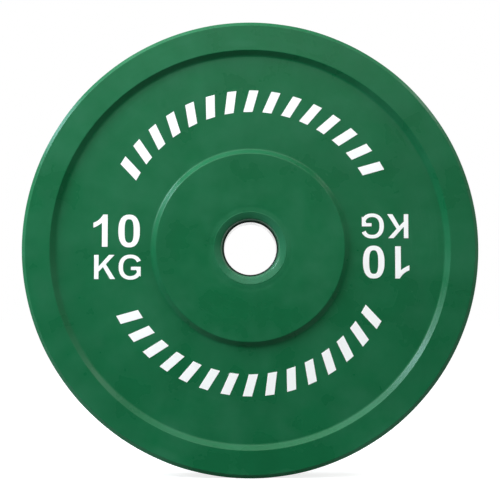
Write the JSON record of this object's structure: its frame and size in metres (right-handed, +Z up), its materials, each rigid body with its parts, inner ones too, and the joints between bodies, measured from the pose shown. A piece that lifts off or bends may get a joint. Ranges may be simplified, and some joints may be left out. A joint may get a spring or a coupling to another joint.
{
  "type": "bumper weight plate",
  "caption": "Round moulded rubber barbell plate with a raised rim and hub, a recessed web and a steel bush set back in its bore, which slides on a 50 mm barbell sleeve.",
  "frame": {"origin": "middle of the bore at half the plate's width", "axes": "+Y along the bore from the front face to the back face, +Z up as the plate hangs on a bar, +X to the right seen from the front"},
  "size_m": [0.45, 0.052, 0.45],
  "materials": {
    "green_rubber": "satin moulded rubber, faintly mottled",
    "bush_steel": "turned and dulled by handling",
    "hook_steel": "bare drawn bar with weld heat tint",
    "white_marks": "flat white screen-printed ink"
  },
  "bodies": {
    "root": {"rubber_body": "green_rubber", "steel_bush": "bush_steel", "anchor_hook_1": "hook_steel", "anchor_hook_2": "hook_steel", "anchor_hook_3": "hook_steel", "anchor_hook_4": "hook_steel", "anchor_hook_5": "hook_steel", "anchor_hook_6": "hook_steel", "anchor_hook_7": "hook_steel", "anchor_hook_8": "hook_steel"}
  },
  "joints": []
}
